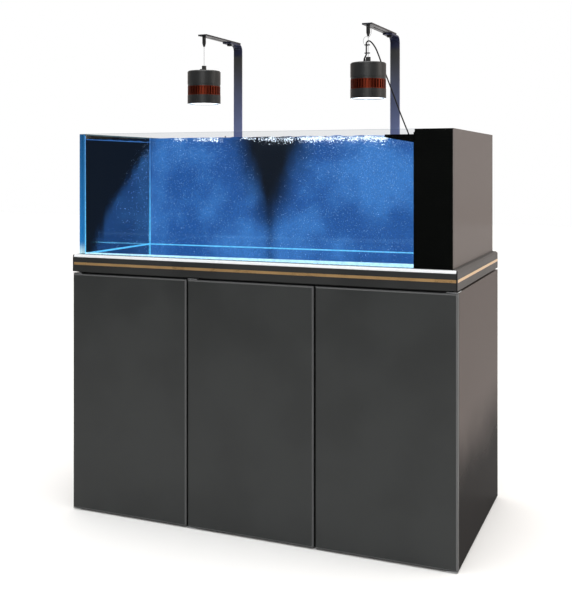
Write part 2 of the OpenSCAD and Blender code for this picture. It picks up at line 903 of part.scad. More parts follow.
// A small round plug that lies beside the coil, with its tail in the outer turn
module cord_plug() {
    tail_y = coil_y + coil_d / 2 + cord_d;
    color("black") translate([coil_x, tail_y, plug_r]) rotate([0, 90, 0]) rotate_extrude()
        polygon([
            [0, 0], [2.3, 0], [3.6, 20], [plug_r, 22], [plug_r, 44], [4, 46],
            [2.75, 46], [2.75, 56], [0, 56]
        ]);
}

foot_glides();
base_panel();
left_side_panel();
right_side_panel();
partition_panels();
back_panel();
deck_panel();
spacer_strips();
pivot_plates();
latch_housings();
left_door();
middle_door();
right_door();
left_plunger();
middle_plunger();
right_plunger();
front_rail();
side_and_back_rails();
corner_beads();
gold_trim();
front_edge_trim();
support_board();
foam_mat();
bottom_glass();
front_glass();
left_glass();
back_glass();
right_glass();
back_film();
column_front_panel();
column_side_panel();
weir_panel();
filter_baffles();
filter_basket();
filter_foam();
return_pump();
return_pipe();
bracket_1();
clamp_screw_1();
arm_1();
lock_screw_1();
gripper_1();
wire_1();
lamp_housing_1();
fin_ring_1();
lens_1();
bracket_2();
clamp_screw_2();
arm_2();
lock_screw_2();
gripper_2();
wire_2();
lamp_housing_2();
fin_ring_2();
lens_2();
cord_clips();
lamp_lead();
lamp_cord();
cord_coil();
cord_plug();
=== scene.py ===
"""Looks of a rimless aquarium with a filter column on a three-door cabinet, and two hanging lamps."""

import math

import bpy
import numpy as np
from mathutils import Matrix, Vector


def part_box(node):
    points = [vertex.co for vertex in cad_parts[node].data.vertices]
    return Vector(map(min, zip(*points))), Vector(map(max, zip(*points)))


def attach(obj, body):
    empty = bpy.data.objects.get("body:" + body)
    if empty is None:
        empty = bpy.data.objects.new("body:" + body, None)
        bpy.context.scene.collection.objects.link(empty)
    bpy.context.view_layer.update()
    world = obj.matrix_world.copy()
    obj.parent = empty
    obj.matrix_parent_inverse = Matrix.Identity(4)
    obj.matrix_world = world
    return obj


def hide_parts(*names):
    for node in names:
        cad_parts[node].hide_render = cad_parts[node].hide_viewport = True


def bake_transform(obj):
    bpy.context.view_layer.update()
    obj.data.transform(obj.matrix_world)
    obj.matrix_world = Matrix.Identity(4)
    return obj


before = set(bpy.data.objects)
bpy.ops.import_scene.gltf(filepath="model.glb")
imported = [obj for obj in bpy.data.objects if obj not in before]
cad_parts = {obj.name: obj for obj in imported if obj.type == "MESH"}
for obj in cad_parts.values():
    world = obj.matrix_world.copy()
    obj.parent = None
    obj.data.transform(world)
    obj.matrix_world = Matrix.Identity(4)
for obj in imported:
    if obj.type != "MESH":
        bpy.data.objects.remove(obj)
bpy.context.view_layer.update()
scene = bpy.context.scene
MM = 0.001
SILICONE_HOLLOW = 0.72  # how deep a wiped bead is hollowed, as a share of its size


# ---------- places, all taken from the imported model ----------

def low(node):
    """Lowest corner of a node's box."""
    return np.array(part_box(node)[0])


def high(node):
    """Highest corner of a node's box."""
    return np.array(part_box(node)[1])


wall_left = high("left_glass")[0]
wall_front = high("front_glass")[1]
wall_back = low("back_glass")[1]
tank_floor = high("bottom_glass")[2]
rim = high("front_glass")[2]
weir_face = low("column_front_panel")[0] - 6 * MM
water_level = rim - 16 * MM
lamp_axis = {n: (low(f"wire_{n}") + high(f"wire_{n}"))[:2] / 2 for n in (1, 2)}


# ---------- camera ----------

camera_data = bpy.data.cameras.new("studio_camera")
camera_data.sensor_width = 36
camera_data.lens = 53.95
camera_data.shift_x = -0.0026
camera_data.shift_y = -0.2275
camera = bpy.data.objects.new("studio_camera", camera_data)
camera.location = (1.103, -2.675, 1.062)
camera.rotation_euler = (math.pi / 2, 0, math.radians(22.5))
scene.collection.objects.link(camera)
scene.camera = camera
scene.view_settings.view_transform = "Standard"


# ---------- shapes ----------

def unit(vectors):
    """Vectors divided by their lengths."""
    return vectors / np.linalg.norm(vectors, axis=-1, keepdims=True)


def smooth_path(points, steps):
    """Cubic through the points: between two of them its slopes are half the way between the neighbours."""
    points = np.array(points, float)
    padded = np.concatenate([points[:1], points, points[-1:]])
    a, b, c, d = padded[:-3, None], padded[1:-2, None], padded[2:-1, None], padded[3:, None]
    t = (np.arange(steps) / steps)[None, :, None]
    curve = b + t / 2 * ((c - a) + t * ((2 * a - 5 * b + 4 * c - d) + t * (3 * b - a - 3 * c + d)))
    return np.concatenate([curve.reshape(-1, 3), points[-1:]])


def untwisted(path):
    """Two cross directions for each point of a path. Each pair is the last pair turned with the path,
    so its angle to any fixed pair is a running sum of small turns."""
    ahead = unit(np.gradient(path, axis=0))
    side = unit(np.cross(ahead, np.eye(3)[np.abs(ahead).argmin(axis=1)]))
    other = np.cross(ahead, side)
    moved = side[:-1] - (side[:-1] * ahead[1:]).sum(1, keepdims=True) * ahead[1:]
    turns = np.arctan2((moved * other[1:]).sum(1), (moved * side[1:]).sum(1))
    angle = np.concatenate([[0], np.cumsum(turns)])[:, None]
    return side * np.cos(angle) + other * np.sin(angle), other * np.cos(angle) - side * np.sin(angle)


def skin(rings, wrap=False):
    """Surface through rings of points: point (i, j) meets (i, j + 1), (i + 1, j + 1) and (i + 1, j).
    A flat face closes each end, or the last ring meets the first one."""
    number = np.arange(rings.shape[0] * rings.shape[1]).reshape(rings.shape[:2])
    after = np.roll(number, -1, axis=1)
    further, further_after = np.roll(number, -1, axis=0), np.roll(after, -1, axis=0)
    quads = np.stack([number, after, further_after, further], axis=-1)
    ends = [] if wrap else [number[0, ::-1].tolist(), number[-1].tolist()]
    quads = quads if wrap else quads[:-1]
    return rings.reshape(-1, 3), quads.reshape(-1, 4).tolist() + ends


def tube(path, radius, sides=12):
    """A circle of the given radius carried along the path."""
    u, v = untwisted(path)
    a = np.arange(sides) * 2 * np.pi / sides
    circle = np.cos(a)[None, :, None] * u[:, None] + np.sin(a)[None, :, None] * v[:, None]
    return skin(path[:, None] + np.broadcast_to(radius, len(path))[:, None, None] * circle)


def turned(profile, centre, axis, sides=48, lobes=0):
    """A profile turned about an axis. Its rows are distance along the axis, radius and depth of the
    grip, and the radius at angle a is radius - depth (1 + cos(lobes a)) / 2."""
    along, radius, depth = np.array(profile, float).T
    axis = np.array(axis, float)
    u = unit(np.cross(axis, np.eye(3)[np.abs(axis).argmin()]))
    v = np.cross(axis, u)
    a = np.arange(sides) * 2 * np.pi / sides
    r = radius[:, None] - depth[:, None] * (1 + np.cos(lobes * a)) / 2
    out = np.cos(a)[:, None] * u + np.sin(a)[:, None] * v
    return skin(np.array(centre) + along[:, None, None] * axis + r[..., None] * out)


def hoop(profile, centre, axis, sides=48):
    """A closed outline of (distance along the axis, radius) carried round the axis."""
    along, radius = np.array(profile, float).T
    axis = np.array(axis, float)
    u = unit(np.cross(axis, np.eye(3)[np.abs(axis).argmin()]))
    v = np.cross(axis, u)
    a = np.arange(sides) * 2 * np.pi / sides
    out = np.cos(a)[:, None] * u + np.sin(a)[:, None] * v
    return skin(np.array(centre) + along[:, None] * axis + radius[:, None] * out[:, None], wrap=True)


def seam(start, end, wall_a, wall_b, sizes):
    """A bead in the corner of two walls: its section runs from the corner along wall a, back to wall b
    on a hollow quarter circle, and home. It has one size at the start and one at the end."""
    wall_a, wall_b = np.array(wall_a, float), np.array(wall_b, float)
    a = np.linspace(0, np.pi / 2, 6)
    hollow = 1 - SILICONE_HOLLOW * np.stack([np.sin(a), np.cos(a)], axis=1)
    section = np.concatenate([[[0, 0], [1, 0]], hollow[::-1], [[0, 1]]])
    flat = section[:, :1] * wall_a + section[:, 1:] * wall_b
    ahead = np.array(end, float) - np.array(start, float)
    flat = flat if np.cross(wall_a, wall_b) @ ahead > 0 else flat[::-1]
    ends = [np.array(place, float) + size * MM * flat for place, size in zip((start, end), sizes)]
    return skin(np.stack(ends))


def strip(path, across, width, thickness):
    """A flat strip with rounded edges, its section carried along the path and `across` its width."""
    ahead = unit(np.gradient(path, axis=0))
    across = np.array(across, float)
    up = np.cross(ahead, across)
    a = np.arange(12) * 2 * np.pi / 12
    x = np.sign(np.cos(a)) * np.abs(np.cos(a)) ** 0.4 * width / 2
    y = np.sign(np.sin(a)) * np.abs(np.sin(a)) ** 0.8 * thickness / 2
    return skin(path[:, None] + x[None, :, None] * across + y[None, :, None] * up[:, None])


def drops(centres, radii, flatness=1.0):
    """Small round drops of 14 faces, one at each centre: three rings of six points and two caps."""
    a = np.arange(6) * np.pi / 3
    height = np.radians([-55, 0, 55])
    ring = np.stack([np.cos(height)[:, None] * np.cos(a), np.cos(height)[:, None] * np.sin(a),
                     np.sin(height)[:, None] * flatness * np.ones(6)], axis=-1)
    points, faces = skin(ring)
    every = (centres[:, None] + radii[:, None, None] * points).reshape(-1, 3)
    steps = np.arange(len(centres)) * len(points)
    return every, [[corner + step for corner in face] for step in steps.tolist() for face in faces]


def new_piece(name, surfaces, material, body, crease=40):
    """Joins surfaces, each of points in metres and faces, into one mesh that rides on a body."""
    starts = np.cumsum([0] + [len(points) for points, _ in surfaces])
    corners = np.concatenate([points for points, _ in surfaces])
    faces = [[c + int(first) for c in face] for first, (_, some) in zip(starts, surfaces) for face in some]
    mesh = bpy.data.meshes.new(name)
    mesh.from_pydata(corners.tolist(), [], faces)
    mesh.shade_smooth()
    mesh.set_sharp_from_angle(angle=math.radians(crease))
    mesh.materials.append(material)
    piece = bpy.data.objects.new(name, mesh)
    scene.collection.objects.link(piece)
    if body:
        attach(piece, body)
    return piece


# ---------- nodes of materials ----------

def linear(code):
    """Linear colour of an sRGB hex value: c / 12.92 up to 0.04045, else ((c + 0.055) / 1.055) ^ 2.4."""
    c = np.array([int(code[i:i + 2], 16) for i in (1, 3, 5)]) / 255
    return (*np.where(c <= 0.04045, c / 12.92, ((c + 0.055) / 1.055) ** 2.4).tolist(), 1.0)


def add(tree, kind, inputs=None, **settings):
    """Adds a node: settings are its properties, and inputs are values or other nodes' outputs."""
    node = tree.nodes.new(kind)
    for name, value in settings.items():
        setattr(node, name, value)
    for name, value in (inputs or {}).items():
        if isinstance(value, bpy.types.NodeSocket):
            tree.links.new(value, node.inputs[name])
        else:
            node.inputs[name].default_value = value
    return node


def new_material(name):
    """An empty material with its output, and the place of the shaded point in metres."""
    material = bpy.data.materials.new(name)
    material.use_nodes = True
    tree = material.node_tree
    tree.nodes.clear()
    output = add(tree, "ShaderNodeOutputMaterial")
    place = add(tree, "ShaderNodeTexCoord").outputs["Object"]
    return material, tree, output.inputs, place


def per_metre(millimetres):
    """Texture scale that gives features of that size."""
    return 1000 / millimetres


def noise(tree, place, size, detail=2.0, roughness=0.5, stretch=(1, 1, 1)):
    """Noise with features of `size` millimetres, stretched along the axes."""
    moved = add(tree, "ShaderNodeMapping", {"Vector": place, "Scale": stretch}).outputs[0]
    return add(tree, "ShaderNodeTexNoise", {"Vector": moved, "Scale": per_metre(size), "Detail": detail,
                                            "Roughness": roughness}).outputs["Fac"]


def between(tree, value, from_low, from_high, to_low, to_high, kind="SMOOTHSTEP"):
    """Value carried from one range to another."""
    return add(tree, "ShaderNodeMapRange", {"Value": value, "From Min": from_low, "From Max": from_high,
                                            "To Min": to_low, "To Max": to_high},
               interpolation_type=kind).outputs["Result"]


def blend_colour(tree, share, first, second):
    """Colour between two hex values or sockets."""
    first = linear(first) if isinstance(first, str) else first
    second = linear(second) if isinstance(second, str) else second
    return add(tree, "ShaderNodeMix", {"Factor": share, 6: first, 7: second}, data_type="RGBA").outputs[2]


def sum_of(tree, operation, a, b=0.0, c=0.0):
    """One step of arithmetic."""
    return add(tree, "ShaderNodeMath", {0: a, 1: b, 2: c}, operation=operation).outputs[0]


def relief(tree, height, depth, strength=1.0):
    """Normal of a surface whose height is `depth` millimetres at most."""
    return add(tree, "ShaderNodeBump", {"Height": height, "Distance": depth * MM,
                                        "Strength": strength}).outputs["Normal"]


def axes(tree, place):
    """X, Y and Z of a place."""
    return add(tree, "ShaderNodeSeparateXYZ", {0: place}).outputs


def lacquered_board(name, dark, light, rough, specular):
    """Fibreboard under sprayed polyurethane lacquer: a satin sheen over a faint orange peel, with soft
    wiped patches that change the gloss. The sloping bevels carry painted light: a painted highlight where
    they face right or up, and painted shade where they face left."""
    material, tree, out, place = new_material(name)
    peel = noise(tree, place, 3.0, 1.0)
    wiped = noise(tree, place, 220.0, 3.0)
    colour = blend_colour(tree, between(tree, wiped, 0.35, 0.65, 0.0, 1.0), dark, light)
    facing = axes(tree, add(tree, "ShaderNodeTexCoord").outputs["Normal"])
    # Painted light on the sloping bevels: a painted highlight where they face right or up, painted shade
    # where they face left.
    slope = sum_of(tree, "COMPARE", facing["Y"], -0.707, 0.1)
    highlit_bevel_side = sum_of(tree, "GREATER_THAN", facing["X"], -0.3)
    colour = blend_colour(tree, slope, colour, blend_colour(tree, highlit_bevel_side, "#070707", "#58595a"))
    shader = add(tree, "ShaderNodeBsdfPrincipled", {
        "Base Color": colour,
        "Roughness": between(tree, wiped, 0.3, 0.7, rough - 0.04, rough + 0.05),
        "Specular IOR Level": specular,
        "Normal": relief(tree, peel, 0.02),
    })
    tree.links.new(shader.outputs[0], out["Surface"])
    return material


def side_lacquer(name, upper, lower, fade_low, fade_high):
    """High-gloss taupe lacquer over fibreboard with a black band on its rear edge. The gloss is a thin
    clear coat. The lower part is painted darker, a painted reflection of the dark floor, with a soft patchy
    edge."""
    material, tree, out, place = new_material(name)
    _, y, z = axes(tree, place)
    reflection_and_gloss_patches = noise(tree, place, 180.0, 3.0)
    # Painted reflection of the dark floor: the colour darkens towards the bottom, with a patchy edge.
    level = sum_of(tree, "MULTIPLY_ADD", sum_of(tree, "SUBTRACT", reflection_and_gloss_patches, 0.5), 0.10, z)
    colour = blend_colour(tree, between(tree, level, fade_low, fade_high, 0.0, 1.0), lower, upper)
    band = sum_of(tree, "GREATER_THAN", y, high("back_panel")[1] - 4.5 * MM)
    shader = add(tree, "ShaderNodeBsdfPrincipled", {
        "Base Color": blend_colour(tree, band, colour, "#060606"),
        "Roughness": between(tree, reflection_and_gloss_patches, 0.3, 0.7, 0.35, 0.45),
        "Specular IOR Level": 0.0,
        "Coat Weight": 0.12,
        "Coat Roughness": 0.1,
        "Normal": relief(tree, noise(tree, place, 3.0, 1.0), 0.01),
    })
    tree.links.new(shader.outputs[0], out["Surface"])
    return material


def melamine_board():
    """Melamine-faced chipboard for the inside of the cabinet: a fine dry grain pressed in its paper."""
    material, tree, out, place = new_material("melamine_board")
    grain = noise(tree, place, 6.0, 4.0, 0.6, (1, 1, 0.15))
    shader = add(tree, "ShaderNodeBsdfPrincipled", {
        "Base Color": blend_colour(tree, grain, "#2c2d2d", "#3c3d3c"),
        "Roughness": between(tree, grain, 0.3, 0.7, 0.5, 0.65),
        "Specular IOR Level": 0.35,
        "Normal": relief(tree, grain, 0.05),
    })
    tree.links.new(shader.outputs[0], out["Surface"])
    return material


def brushed_metal(name, dark, light, rough, stretch, line=0.5, depth=0.01):
    """Metal drawn along its length under an abrasive belt: fine bright lines that smear highlights.
    Real lines are about 0.05 mm wide, and are drawn coarser to show."""
    material, tree, out, place = new_material(name)
    lines = noise(tree, place, line, 3.0, 0.6, stretch)
    patches = noise(tree, place, 60.0, 2.0)
    mixed = sum_of(tree, "MULTIPLY_ADD", lines, 0.6, sum_of(tree, "MULTIPLY", patches, 0.4))
    shader = add(tree, "ShaderNodeBsdfPrincipled", {
        "Base Color": blend_colour(tree, mixed, dark, light),
        "Metallic": 1.0,
        "Roughness": between(tree, mixed, 0.3, 0.7, rough - 0.05, rough + 0.08),
        "Normal": relief(tree, lines, depth),
    })
    tree.links.new(shader.outputs[0], out["Surface"])
    return material


def moulded_plastic(name, dark, light, rough, grain=0.8, depth=0.03, specular=0.4):
    """Plastic from a spark-eroded mould: an even fine grain that breaks the gloss. The real grain is
    about 0.1 mm, and is drawn coarser to show."""
    material, tree, out, place = new_material(name)
    texture = noise(tree, place, grain, 2.0)
    patches = noise(tree, place, 30.0, 2.0)
    shader = add(tree, "ShaderNodeBsdfPrincipled", {
        "Base Color": blend_colour(tree, patches, dark, light),
        "Roughness": between(tree, texture, 0.3, 0.7, rough - 0.05, rough + 0.07),
        "Specular IOR Level": specular,
        "Normal": relief(tree, texture, depth),
    })
    tree.links.new(shader.outputs[0], out["Surface"])
    return material


def powder_coat(name, top, bottom, top_z, bottom_z, rough=0.42):
    """Steel under baked powder: a fine pebbled skin. The low end and the bend are painted with the blue
    light of the lit tank. Real pebbles are about 0.3 mm, and are drawn three times coarser to show."""
    material, tree, out, place = new_material(name)
    pebbles = noise(tree, place, 0.9, 2.0)
    z = axes(tree, place)["Z"]
    # Painted light: the blue of the lit tank at the low end and at the bend.
    level = between(tree, z, bottom_z, top_z, 0.0, 1.0)
    bend = between(tree, z, top_z - 5 * MM, top_z + 15 * MM, 0.0, 1.0)
    top = blend_colour(tree, bend, top, "#262b4a")
    shader = add(tree, "ShaderNodeBsdfPrincipled", {
        "Base Color": blend_colour(tree, level, bottom, top),
        "Roughness": between(tree, pebbles, 0.3, 0.7, rough - 0.05, rough + 0.07),
        "Specular IOR Level": 0.5,
        "Normal": relief(tree, pebbles, 0.02),
    })
    tree.links.new(shader.outputs[0], out["Surface"])
    return material


def anodised_housing(name, dark, light):
    """Aluminium turned on a lathe, then anodised: fine rings round the axis under a dull sheen. Its
    lower rim glows white with painted light, standing for the light of the lens."""
    material, tree, out, place = new_material(name)
    # Painted light: the rim below the lens glows white.
    under = sum_of(tree, "LESS_THAN", axes(tree, place)["Z"], low("lens_1")[2] - 2.0 * MM)
    rings = noise(tree, place, 1.2, 2.0, 0.5, (0.02, 0.02, 1))
    patches = noise(tree, place, 40.0, 2.0)
    shader = add(tree, "ShaderNodeBsdfPrincipled", {
        "Base Color": blend_colour(tree, patches, dark, light),
        "Metallic": 0.35,
        "Roughness": between(tree, rings, 0.3, 0.7, 0.36, 0.48),
        "Normal": relief(tree, rings, 0.015),
        "Emission Color": linear("#f4faff"),
        "Emission Strength": sum_of(tree, "MULTIPLY", under, 1.2),
    })
    tree.links.new(shader.outputs[0], out["Surface"])
    return material


def float_glass(name, edge_dark, edge_light):
    """Low-iron float glass with polished edges: clear faces with a weak mirror, and an upper edge that
    glows pale blue with painted light.
    It doesn't bend what is behind it, as thin panes hardly do."""
    material, tree, out, place = new_material(name)
    streaks = noise(tree, place, 3.0, 2.0, 0.5, (0.15, 1, 1))
    clear = add(tree, "ShaderNodeBsdfTransparent", {"Color": (0.90, 0.905, 0.91, 1)})
    mirror = add(tree, "ShaderNodeBsdfGlossy", {"Color": (1, 1, 1, 1), "Roughness": 0.02})
    face = add(tree, "ShaderNodeMixShader", {0: add(tree, "ShaderNodeFresnel", {"IOR": 1.22}).outputs[0],
                                             1: clear.outputs[0], 2: mirror.outputs[0]})
    # Painted light: the upper edge glows, standing for the lamps' light caught in the glass.
    glow = add(tree, "ShaderNodeEmission", {"Color": blend_colour(tree, streaks, edge_dark, edge_light),
                                            "Strength": 0.35})
    upper_edge = sum_of(tree, "GREATER_THAN", axes(tree, place)["Z"], rim - 0.05 * MM)
    edge = add(tree, "ShaderNodeMixShader", {0: sum_of(tree, "MULTIPLY", upper_edge, 0.6),
                                             1: face.outputs[0], 2: glow.outputs[0]})
    tree.links.new(edge.outputs[0], out["Surface"])
    return material


def still_water():
    """Fresh water: clear, with the refraction of water and a slight blue loss of light over a metre."""
    material, tree, out, place = new_material("fresh_water")
    surface = add(tree, "ShaderNodeBsdfPrincipled", {
        "Base Color": (1, 1, 1, 1),
        "Roughness": 0.0,
        "IOR": 1.333,
        "Transmission Weight": 1.0,
    })
    loss = add(tree, "ShaderNodeVolumeAbsorption", {"Color": linear("#6db4ea"), "Density": 0.35})
    tree.links.new(surface.outputs[0], out["Surface"])
    tree.links.new(loss.outputs[0], out["Volume"])
    return material


def lit_film():
    """Blue vinyl film behind the back pane, with the lamps' light painted on it as a glow: two soft-edged
    cones of painted light that widen downwards, with cloudy patches and a fine painted sparkle of bubbles."""
    material, tree, out, place = new_material("blue_vinyl_film")
    x, y, z = axes(tree, place)
    depth = sum_of(tree, "SUBTRACT", water_level, z)
    wisps = noise(tree, place, 90.0, 3.0, 0.55, (1, 1, 0.45))
    sway = sum_of(tree, "MULTIPLY", sum_of(tree, "SUBTRACT", wisps, 0.5), 0.10)
    # Painted light: two cones of the lamps' light glow on the film's front face.
    cones = []
    for axis_x, start, slope, edge in ((-0.418, 0.160, 0.39, 0.07), (0.221, 0.210, 0.41, 0.085)):
        away = sum_of(tree, "ADD", sum_of(tree, "ABSOLUTE", sum_of(tree, "SUBTRACT", x, axis_x)), sway)
        reach = sum_of(tree, "MULTIPLY_ADD", depth, slope, start)
        cones.append(between(tree, sum_of(tree, "SUBTRACT", away, reach), -edge, edge, 1.0, 0.0))
    lit = sum_of(tree, "MAXIMUM", cones[0], cones[1])
    clouds = noise(tree, place, 160.0, 3.0)
    grain = noise(tree, place, 2.6, 2.0, 0.7)
    heart = sum_of(tree, "MULTIPLY", lit, between(tree, clouds, 0.35, 0.68, 0.25, 1.0))
    body = blend_colour(tree, lit, "#050e18", "#1b529e")
    bright = blend_colour(tree, heart, body, "#4a8fdc")
    strength = between(tree, grain, 0.25, 0.75, 0.65, 1.6, "LINEAR")
    front_face = sum_of(tree, "LESS_THAN", y, high("back_glass")[1] + 0.3 * MM)
    glow = add(tree, "ShaderNodeBsdfPrincipled", {
        "Base Color": blend_colour(tree, grain, "#060f1c", "#0a1728"),
        "Roughness": 0.45,
        "Emission Color": bright,
        "Emission Strength": sum_of(tree, "MULTIPLY", strength, front_face),
    })
    tree.links.new(glow.outputs[0], out["Surface"])
    return material


def lit_silicone(name, foot, head, glow):
    """Clear silicone sealant wiped into the corners: it glows with painted light of the lamps, brightest
    near the floor and dim near the rim."""
    material, tree, out, place = new_material(name)
    z = axes(tree, place)["Z"]
    level = between(tree, z, tank_floor, rim - 20 * MM, 0.0, 1.0)
    wiped = noise(tree, place, 12.0, 3.0)
    shader = add(tree, "ShaderNodeBsdfPrincipled", {
        "Base Color": blend_colour(tree, wiped, "#5f9fc8", "#86c4e6"),
        "Roughness": 0.3,
        "Emission Color": blend_colour(tree, level, foot, head),
        "Emission Strength": between(tree, wiped, 0.3, 0.7, 0.75 * glow, 1.1 * glow),
    })
    tree.links.new(shader.outputs[0], out["Surface"])
    return material


def lit_edge():
    """Polished end of a glass pane, glowing with painted light that stands for the lamps' light caught
    inside it: two blue bands with a brighter line, nearly white at the foot."""
    material, tree, out, place = new_material("polished_glass_edge")
    x, _, z = axes(tree, place)
    level = between(tree, z, tank_floor, rim, 0.0, 1.0, "LINEAR")
    column = blend_colour(tree, level, "#1f83cc", "#1c5688")
    line = between(tree, sum_of(tree, "ABSOLUTE", sum_of(tree, "SUBTRACT", x, wall_left - 3 * MM)),
                   0.0, 2.4 * MM, 1.0, 0.0)
    foot = between(tree, z, tank_floor, tank_floor + 40 * MM, 1.0, 0.0)
    colour = blend_colour(tree, line, column, "#479cdc")
    colour = blend_colour(tree, foot, colour, "#c8f2ff")
    shader = add(tree, "ShaderNodeBsdfPrincipled", {
        "Base Color": (0.01, 0.03, 0.06, 1),
        "Roughness": 0.2,
        "Emission Color": colour,
        "Emission Strength": 0.9,
    })
    tree.links.new(shader.outputs[0], out["Surface"])
    return material


def unlit_water():
    """Painted shade on a thin sheet, for deep water that the lamps don't reach: nearly black blue, thinning
    out along the edge of the light. The edge rises from the front foot of the wall as the 1.45th power of
    the height."""
    material, tree, out, place = new_material("unlit_water")
    _, y, z = axes(tree, place)
    height = between(tree, z, tank_floor, water_level, 0.0, 1.0, "LINEAR")
    reach = sum_of(tree, "MULTIPLY", sum_of(tree, "POWER", height, 1.45), 0.52)
    wisps = noise(tree, place, 60.0, 3.0, 0.6, (1, 1, 0.4))
    away = sum_of(tree, "SUBTRACT", sum_of(tree, "SUBTRACT", y, wall_front), reach)
    away = sum_of(tree, "MULTIPLY_ADD", sum_of(tree, "SUBTRACT", wisps, 0.5), 0.12, away)
    share = between(tree, away, -0.04, 0.14, 1.0, 0.15)
    dark = add(tree, "ShaderNodeEmission", {"Color": linear("#0b1726"), "Strength": 1.0})
    clear = add(tree, "ShaderNodeBsdfTransparent", {"Color": (1, 1, 1, 1)})
    mixed = add(tree, "ShaderNodeMixShader", {0: share, 1: clear.outputs[0], 2: dark.outputs[0]})
    tree.links.new(mixed.outputs[0], out["Surface"])
    return material


def lit_bubbles(name, colour, strength):
    """Air bubbles glowing with painted light of the lamps: bright points whose brightness differs from one
    to the next.
    """
    material, tree, out, place = new_material(name)
    each = noise(tree, place, 9.0, 1.0)
    shader = add(tree, "ShaderNodeBsdfPrincipled", {
        "Base Color": blend_colour(tree, each, "#9cc4ee", "#ffffff"),
        "Roughness": 0.15,
        "Emission Color": linear(colour),
        "Emission Strength": between(tree, each, 0.35, 0.65, 0.15 * strength, strength),
    })
    tree.links.new(shader.outputs[0], out["Surface"])
    return material


def black_acrylic():
    """Black cast acrylic, polished: nearly black with a hard mirror. Faint ribs 7 mm apart, the slats
    behind the sheet, show through its upper half."""
    material, tree, out, place = new_material("black_cast_acrylic")
    z = axes(tree, place)["Z"]
    wave = sum_of(tree, "SINE", sum_of(tree, "MULTIPLY", z, 2 * math.pi * per_metre(7)))
    fade = between(tree, z, tank_floor + 80 * MM, rim - 60 * MM, 0.1, 1.0)
    ribs = sum_of(tree, "MULTIPLY", between(tree, wave, 0.2, 1.0, 0.0, 1.0), fade)
    shader = add(tree, "ShaderNodeBsdfPrincipled", {
        "Base Color": blend_colour(tree, ribs, "#040504", "#0c0d0c"),
        "Roughness": between(tree, noise(tree, place, 50.0, 3.0), 0.3, 0.7, 0.08, 0.16),
        "Specular IOR Level": 0.2,
        "Normal": relief(tree, ribs, 0.01),
    })
    tree.links.new(shader.outputs[0], out["Surface"])
    return material


def black_sealant():
    """Black silicone or rubber bead, tooled smooth, with a soft sheen and small dents."""
    return moulded_plastic("black_sealant", "#050505", "#0d0d0d", 0.4, 4.0, 0.05, 0.3)


def open_foam(name, dark, light, cell):
    """Foam with open cells: dark pores between pale walls, and no gloss."""
    material, tree, out, place = new_material(name)
    cells = add(tree, "ShaderNodeTexVoronoi", {"Vector": place, "Scale": per_metre(cell)}).outputs["Distance"]
    shader = add(tree, "ShaderNodeBsdfPrincipled", {
        "Base Color": blend_colour(tree, between(tree, cells, 0.1, 0.6, 1.0, 0.0), dark, light),
        "Roughness": between(tree, cells, 0.0, 0.6, 0.8, 0.95),
        "Specular IOR Level": 0.15,
        "Normal": relief(tree, cells, 0.5),
    })
    tree.links.new(shader.outputs[0], out["Surface"])
    return material


def lit_lens(name, axis):
    """Frosted lens with six bright emitters in a ring round a seventh: cold white, bluer to the rim."""
    material, tree, out, place = new_material(name)
    centred = add(tree, "ShaderNodeMapping", {"Vector": place,
                                              "Location": (-axis[0], -axis[1], 0)}).outputs[0]
    x, y, _ = axes(tree, centred)
    radius = sum_of(tree, "SQRT", sum_of(tree, "ADD", sum_of(tree, "MULTIPLY", x, x),
                                         sum_of(tree, "MULTIPLY", y, y)))
    angle = sum_of(tree, "ARCTAN2", y, x)
    petals = sum_of(tree, "COSINE", sum_of(tree, "MULTIPLY", angle, 6.0))
    off_ring = sum_of(tree, "ABSOLUTE", sum_of(tree, "SUBTRACT", radius, 0.030))
    band = between(tree, off_ring, 0.0, 0.009, 1.0, 0.0)
    spots = sum_of(tree, "MAXIMUM", sum_of(tree, "MULTIPLY", band, between(tree, petals, 0.2, 1.0, 0.0, 1.0)),
                   between(tree, radius, 0.0, 0.010, 1.0, 0.0))
    colour = blend_colour(tree, between(tree, radius, 0.015, 0.05, 0.0, 1.0), "#ffffff", "#cfe8ff")
    shader = add(tree, "ShaderNodeBsdfPrincipled", {
        "Base Color": linear("#e8f0f6"),
        "Roughness": 0.35,
        "Emission Color": colour,
        "Emission Strength": between(tree, spots, 0.0, 1.0, 2.2, 9.0, "LINEAR"),
    })
    tree.links.new(shader.outputs[0], out["Surface"])
    return material


def pale_floor():
    """Matt pale studio floor with a faint trowelled unevenness."""
    material, tree, out, place = new_material("pale_studio_floor")
    patches = noise(tree, place, 700.0, 3.0)
    shader = add(tree, "ShaderNodeBsdfPrincipled", {
        "Base Color": blend_colour(tree, patches, "#f1f1f0", "#f6f6f5"),
        "Roughness": 0.7,
        "Specular IOR Level": 0.2,
    })
    tree.links.new(shader.outputs[0], out["Surface"])
    return material


def give(material, *nodes):
    """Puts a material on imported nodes."""
    for node in nodes:
        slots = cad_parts[node].data.materials
        slots.clear()
        slots.append(material)


# Doors and rails carry a painted highlight and painted shade on their bevels.
doors = lacquered_board("lacquered_door_board", "#282a2a", "#2f3131", 0.42, 0.3)
# The dark lower part of the sides and rails is a painted reflection of the dark floor.
sides = side_lacquer("gloss_lacquered_side", "#615956", "#0c0604", 0.17, 0.42)
rails = lacquered_board("lacquered_rail_board", "#252626", "#2a2b2b", 0.34, 0.3)
side_rails = side_lacquer("gloss_lacquered_side_rail", "#625f5e", "#595654", 0.70, 0.80)
cladding = side_lacquer("taupe_acrylic_sheet", "#76706e", "#726b68", 0.80, 1.10)
melamine = melamine_board()
brass = brushed_metal("brushed_brass", "#b98a52", "#eac590", 0.3, (0.02, 1, 1))
